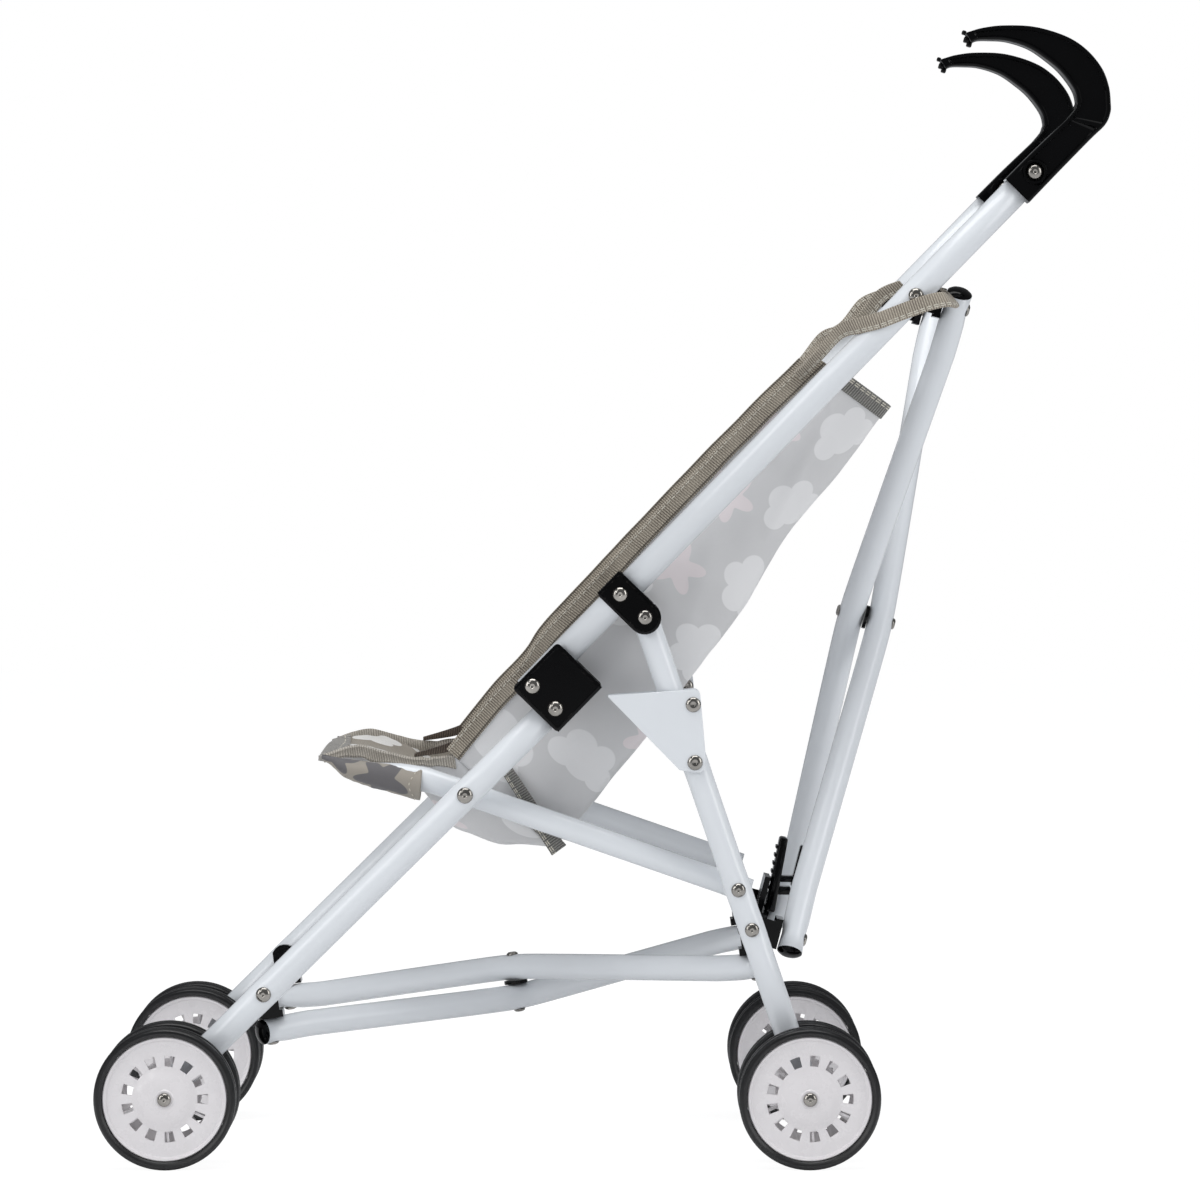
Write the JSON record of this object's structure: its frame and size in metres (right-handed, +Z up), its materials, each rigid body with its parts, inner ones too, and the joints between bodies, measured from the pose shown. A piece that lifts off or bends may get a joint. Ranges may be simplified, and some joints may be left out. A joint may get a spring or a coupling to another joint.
{
  "type": "doll stroller",
  "caption": "Toy umbrella stroller for dolls: white tube frame that folds on scissor braces, black hooked handles, twin wheels at each leg and a taupe cloth sling seat with clouds and stars.",
  "frame": {"origin": "on the floor, under the middle of the overall box", "axes": "+Z up, front of the stroller at -Y, its left side at +X"},
  "size_m": [0.2634, 0.4998, 0.5625],
  "materials": {
    "white_paint": "smooth gloss white paint on steel tube",
    "black_plastic": "polished black moulding",
    "white_plastic": "satin white moulding",
    "tyre_black": "ribbed dark hard tread",
    "bright_steel": "bright zinc-plated steel",
    "taupe_cloth": "woven polyester, matt"
  },
  "bodies": {
    "left_front": {"front_leg_left": "white_paint", "hinge_bracket_left": "black_plastic", "front_axle_left": "bright_steel", "hinge_pin_left": "bright_steel", "rail_pin_left": "bright_steel"},
    "left_handle": {"handle_tube_left": "white_paint", "handle_grip_left": "black_plastic", "rear_leg_lug_left": "black_plastic", "seat_back": "taupe_cloth"},
    "left_rear": {"rear_leg_left": "white_paint", "rear_axle_left": "bright_steel"},
    "left_rail": {"seat_rail_left": "white_paint", "seat_sleeve_left": "taupe_cloth", "seat_pan": "taupe_cloth"},
    "left_latch": {"latch_plate_left": "white_paint"},
    "left_lock_arm": {"lock_arm_left": "black_plastic"},
    "right_front": {"front_leg_right": "white_paint", "hinge_bracket_right": "black_plastic", "front_axle_right": "bright_steel", "hinge_pin_right": "bright_steel", "rail_pin_right": "bright_steel"},
    "right_handle": {"handle_tube_right": "white_paint", "handle_grip_right": "black_plastic", "rear_leg_lug_right": "black_plastic"},
    "right_rear": {"rear_leg_right": "white_paint", "rear_axle_right": "bright_steel"},
    "right_rail": {"seat_rail_right": "white_paint", "seat_sleeve_right": "taupe_cloth"},
    "right_latch": {"latch_plate_right": "white_paint"},
    "right_lock_arm": {"lock_arm_right": "black_plastic"},
    "front_knuckle_left": {"front_knuckle_left": "black_plastic"},
    "front_knuckle_right": {"front_knuckle_right": "black_plastic"},
    "rear_knuckle_left": {"rear_knuckle_left": "black_plastic"},
    "rear_knuckle_right": {"rear_knuckle_right": "black_plastic"},
    "back_top_knuckle_left": {"back_top_knuckle_left": "black_plastic"},
    "back_top_knuckle_right": {"back_top_knuckle_right": "black_plastic"},
    "back_low_knuckle_left": {"back_low_knuckle_left": "black_plastic"},
    "back_low_knuckle_right": {"back_low_knuckle_right": "black_plastic"},
    "lower_brace_a": {"lower_brace_a": "white_paint", "lower_brace_spacer": "black_plastic"},
    "lower_brace_b": {"lower_brace_b": "white_paint"},
    "back_brace_b": {"back_brace_b": "white_paint", "back_brace_spacer": "black_plastic"},
    "back_brace_a": {"back_brace_a": "white_paint"},
    "wheel_front_left_outer": {"tyre_front_left_outer": "tyre_black", "rim_front_left_outer": "white_plastic"},
    "wheel_front_left_inner": {"tyre_front_left_inner": "tyre_black", "rim_front_left_inner": "white_plastic"},
    "wheel_rear_left_outer": {"tyre_rear_left_outer": "tyre_black", "rim_rear_left_outer": "white_plastic"},
    "wheel_rear_left_inner": {"tyre_rear_left_inner": "tyre_black", "rim_rear_left_inner": "white_plastic"},
    "wheel_front_right_outer": {"tyre_front_right_outer": "tyre_black", "rim_front_right_outer": "white_plastic"},
    "wheel_front_right_inner": {"tyre_front_right_inner": "tyre_black", "rim_front_right_inner": "white_plastic"},
    "wheel_rear_right_outer": {"tyre_rear_right_outer": "tyre_black", "rim_rear_right_outer": "white_plastic"},
    "wheel_rear_right_inner": {"tyre_rear_right_inner": "tyre_black", "rim_rear_right_inner": "white_plastic"}
  },
  "joints": [
    {"name": "fold", "type": "hinge", "parent": "left_front", "child": "left_handle", "pos_m": [0.107, -0.0345, 0.2377], "axis": [1, 0, 0], "range_deg": [0, 150], "deforming": ["seat_back", "seat_pan"]},
    {"name": "lower_brace_pitch", "type": "hinge", "parent": "left_front", "child": "front_knuckle_left", "pos_m": [0.107, -0.1673, 0.0852], "axis": [1, 0, 0], "range_deg": [0, 35.04]},
    {"name": "lower_brace_yaw", "type": "hinge", "parent": "front_knuckle_left", "child": "lower_brace_a", "pos_m": [0.091, -0.16468, 0.06537], "axis": [0, 0.1312, -0.9914], "range_deg": [0, 30.05]},
    {"name": "lower_brace_scissor", "type": "hinge", "parent": "lower_brace_a", "child": "lower_brace_b", "pos_m": [0, -0.04413, 0.08132], "axis": [0, 0.1312, -0.9914], "range_deg": [-60.11, 0]},
    {"name": "front_knuckle_right_yaw", "type": "hinge", "parent": "lower_brace_b", "child": "front_knuckle_right", "pos_m": [-0.091, -0.16468, 0.06537], "axis": [0, 0.1312, -0.9914], "range_deg": [0, 30.05]},
    {"name": "right_side_pitch", "type": "hinge", "parent": "front_knuckle_right", "child": "right_front", "pos_m": [-0.107, -0.1673, 0.0852], "axis": [1, 0, 0], "range_deg": [-35.04, 0]},
    {"name": "rear_knuckle_left_yaw", "type": "hinge", "parent": "lower_brace_b", "child": "rear_knuckle_left", "pos_m": [0.091, 0.07642, 0.09727], "axis": [0, 0.1312, -0.9914], "range_deg": [0, 30.05]},
    {"name": "rear_knuckle_right_yaw", "type": "hinge", "parent": "lower_brace_a", "child": "rear_knuckle_right", "pos_m": [-0.091, 0.07642, 0.09727], "axis": [0, 0.1312, -0.9914], "range_deg": [-30.05, 0]},
    {"name": "back_brace_pitch", "type": "hinge", "parent": "left_handle", "child": "back_top_knuckle_left", "pos_m": [0.107, 0.1542, 0.4298], "axis": [1, 0, 0], "range_deg": [-26.07, 0]},
    {"name": "back_brace_yaw", "type": "hinge", "parent": "back_top_knuckle_left", "child": "back_brace_b", "pos_m": [0.091, 0.17502, 0.42445], "axis": [0, 0.9685, -0.249], "range_deg": [-23.88, 0]},
    {"name": "back_brace_scissor", "type": "hinge", "parent": "back_brace_b", "child": "back_brace_a", "pos_m": [0, 0.13482, 0.2681], "axis": [0, 0.9685, -0.249], "range_deg": [0, 47.75]},
    {"name": "back_top_knuckle_right_yaw", "type": "hinge", "parent": "back_brace_a", "child": "back_top_knuckle_right", "pos_m": [-0.091, 0.17502, 0.42445], "axis": [0, 0.9685, -0.249], "range_deg": [-23.88, 0]},
    {"name": "back_low_knuckle_left_yaw", "type": "hinge", "parent": "back_brace_a", "child": "back_low_knuckle_left", "pos_m": [0.091, 0.09462, 0.11175], "axis": [0, 0.9685, -0.249], "range_deg": [-23.88, 0]},
    {"name": "back_low_knuckle_right_yaw", "type": "hinge", "parent": "back_brace_b", "child": "back_low_knuckle_right", "pos_m": [-0.091, 0.09462, 0.11175], "axis": [0, 0.9685, -0.249], "range_deg": [0, 23.88]},
    {"name": "rear_leg_fold_left", "type": "hinge", "parent": "left_handle", "child": "left_rear", "pos_m": [0.107, 0.021, 0.2715], "axis": [1, 0, 0], "range_deg": [-59.89, 0]},
    {"name": "seat_rail_fold_left", "type": "hinge", "parent": "left_front", "child": "left_rail", "pos_m": [0.0913, -0.0678, 0.1836], "axis": [1, 0, 0], "range_deg": [0, 63]},
    {"name": "latch_turn_left", "type": "hinge", "parent": "left_rear", "child": "left_latch", "pos_m": [0.107, 0.0456, 0.1999], "axis": [1, 0, 0], "range_deg": [-40, 0]},
    {"name": "lock_arm_turn_left", "type": "hinge", "parent": "back_low_knuckle_left", "child": "left_lock_arm", "pos_m": [0.0778, 0.0738, 0.1171], "axis": [0, 0.9685, -0.249], "range_deg": [0, 86.56]},
    {"name": "handle_fold_right", "type": "hinge", "parent": "right_front", "child": "right_handle", "pos_m": [-0.107, -0.0345, 0.2377], "axis": [1, 0, 0], "range_deg": [0, 150]},
    {"name": "rear_leg_fold_right", "type": "hinge", "parent": "right_handle", "child": "right_rear", "pos_m": [-0.107, 0.021, 0.2715], "axis": [1, 0, 0], "range_deg": [-59.89, 0]},
    {"name": "seat_rail_fold_right", "type": "hinge", "parent": "right_front", "child": "right_rail", "pos_m": [-0.0913, -0.0678, 0.1836], "axis": [1, 0, 0], "range_deg": [0, 63]},
    {"name": "latch_turn_right", "type": "hinge", "parent": "right_rear", "child": "right_latch", "pos_m": [-0.107, 0.0456, 0.1999], "axis": [1, 0, 0], "range_deg": [-40, 0]},
    {"name": "lock_arm_turn_right", "type": "hinge", "parent": "back_low_knuckle_right", "child": "right_lock_arm", "pos_m": [-0.0778, 0.0738, 0.1171], "axis": [0, 0.9685, -0.249], "range_deg": [-86.56, 0]},
    {"name": "spin_front_left_outer", "type": "hinge", "parent": "left_front", "child": "wheel_front_left_outer", "pos_m": [0.123, -0.2152, 0.035], "axis": [1, 0, 0], "continuous": true},
    {"name": "spin_front_left_inner", "type": "hinge", "parent": "left_front", "child": "wheel_front_left_inner", "pos_m": [0.091, -0.2152, 0.035], "axis": [1, 0, 0], "continuous": true},
    {"name": "spin_rear_left_outer", "type": "hinge", "parent": "left_rear", "child": "wheel_rear_left_outer", "pos_m": [0.123, 0.102, 0.035], "axis": [1, 0, 0], "continuous": true},
    {"name": "spin_rear_left_inner", "type": "hinge", "parent": "left_rear", "child": "wheel_rear_left_inner", "pos_m": [0.091, 0.102, 0.035], "axis": [1, 0, 0], "continuous": true},
    {"name": "spin_front_right_outer", "type": "hinge", "parent": "right_front", "child": "wheel_front_right_outer", "pos_m": [-0.123, -0.2152, 0.035], "axis": [1, 0, 0], "continuous": true},
    {"name": "spin_front_right_inner", "type": "hinge", "parent": "right_front", "child": "wheel_front_right_inner", "pos_m": [-0.091, -0.2152, 0.035], "axis": [1, 0, 0], "continuous": true},
    {"name": "spin_rear_right_outer", "type": "hinge", "parent": "right_rear", "child": "wheel_rear_right_outer", "pos_m": [-0.123, 0.102, 0.035], "axis": [1, 0, 0], "continuous": true},
    {"name": "spin_rear_right_inner", "type": "hinge", "parent": "right_rear", "child": "wheel_rear_right_inner", "pos_m": [-0.091, 0.102, 0.035], "axis": [1, 0, 0], "continuous": true}
  ],
  "couplings": [
    {"joint": "lower_brace_pitch", "follows": "fold", "ratio": 0.2336},
    {"joint": "lower_brace_yaw", "follows": "fold", "ratio": 0.20036},
    {"joint": "lower_brace_scissor", "follows": "fold", "ratio": -0.40071},
    {"joint": "front_knuckle_right_yaw", "follows": "fold", "ratio": 0.20036},
    {"joint": "right_side_pitch", "follows": "fold", "ratio": -0.2336},
    {"joint": "rear_knuckle_left_yaw", "follows": "fold", "ratio": 0.20036},
    {"joint": "rear_knuckle_right_yaw", "follows": "fold", "ratio": -0.20036},
    {"joint": "back_brace_pitch", "follows": "fold", "ratio": -0.17379},
    {"joint": "back_brace_yaw", "follows": "fold", "ratio": -0.15918},
    {"joint": "back_brace_scissor", "follows": "fold", "ratio": 0.31836},
    {"joint": "back_top_knuckle_right_yaw", "follows": "fold", "ratio": -0.15918},
    {"joint": "back_low_knuckle_left_yaw", "follows": "fold", "ratio": -0.15918},
    {"joint": "back_low_knuckle_right_yaw", "follows": "fold", "ratio": 0.15918},
    {"joint": "rear_leg_fold_left", "follows": "fold", "ratio": -0.39923},
    {"joint": "seat_rail_fold_left", "follows": "fold", "ratio": 0.42},
    {"joint": "latch_turn_left", "follows": "fold", "ratio": -0.26667},
    {"joint": "lock_arm_turn_left", "follows": "fold", "ratio": 0.57707},
    {"joint": "handle_fold_right", "follows": "fold", "ratio": 1},
    {"joint": "rear_leg_fold_right", "follows": "fold", "ratio": -0.39923},
    {"joint": "seat_rail_fold_right", "follows": "fold", "ratio": 0.42},
    {"joint": "latch_turn_right", "follows": "fold", "ratio": -0.26667},
    {"joint": "lock_arm_turn_right", "follows": "fold", "ratio": -0.57707}
  ]
}
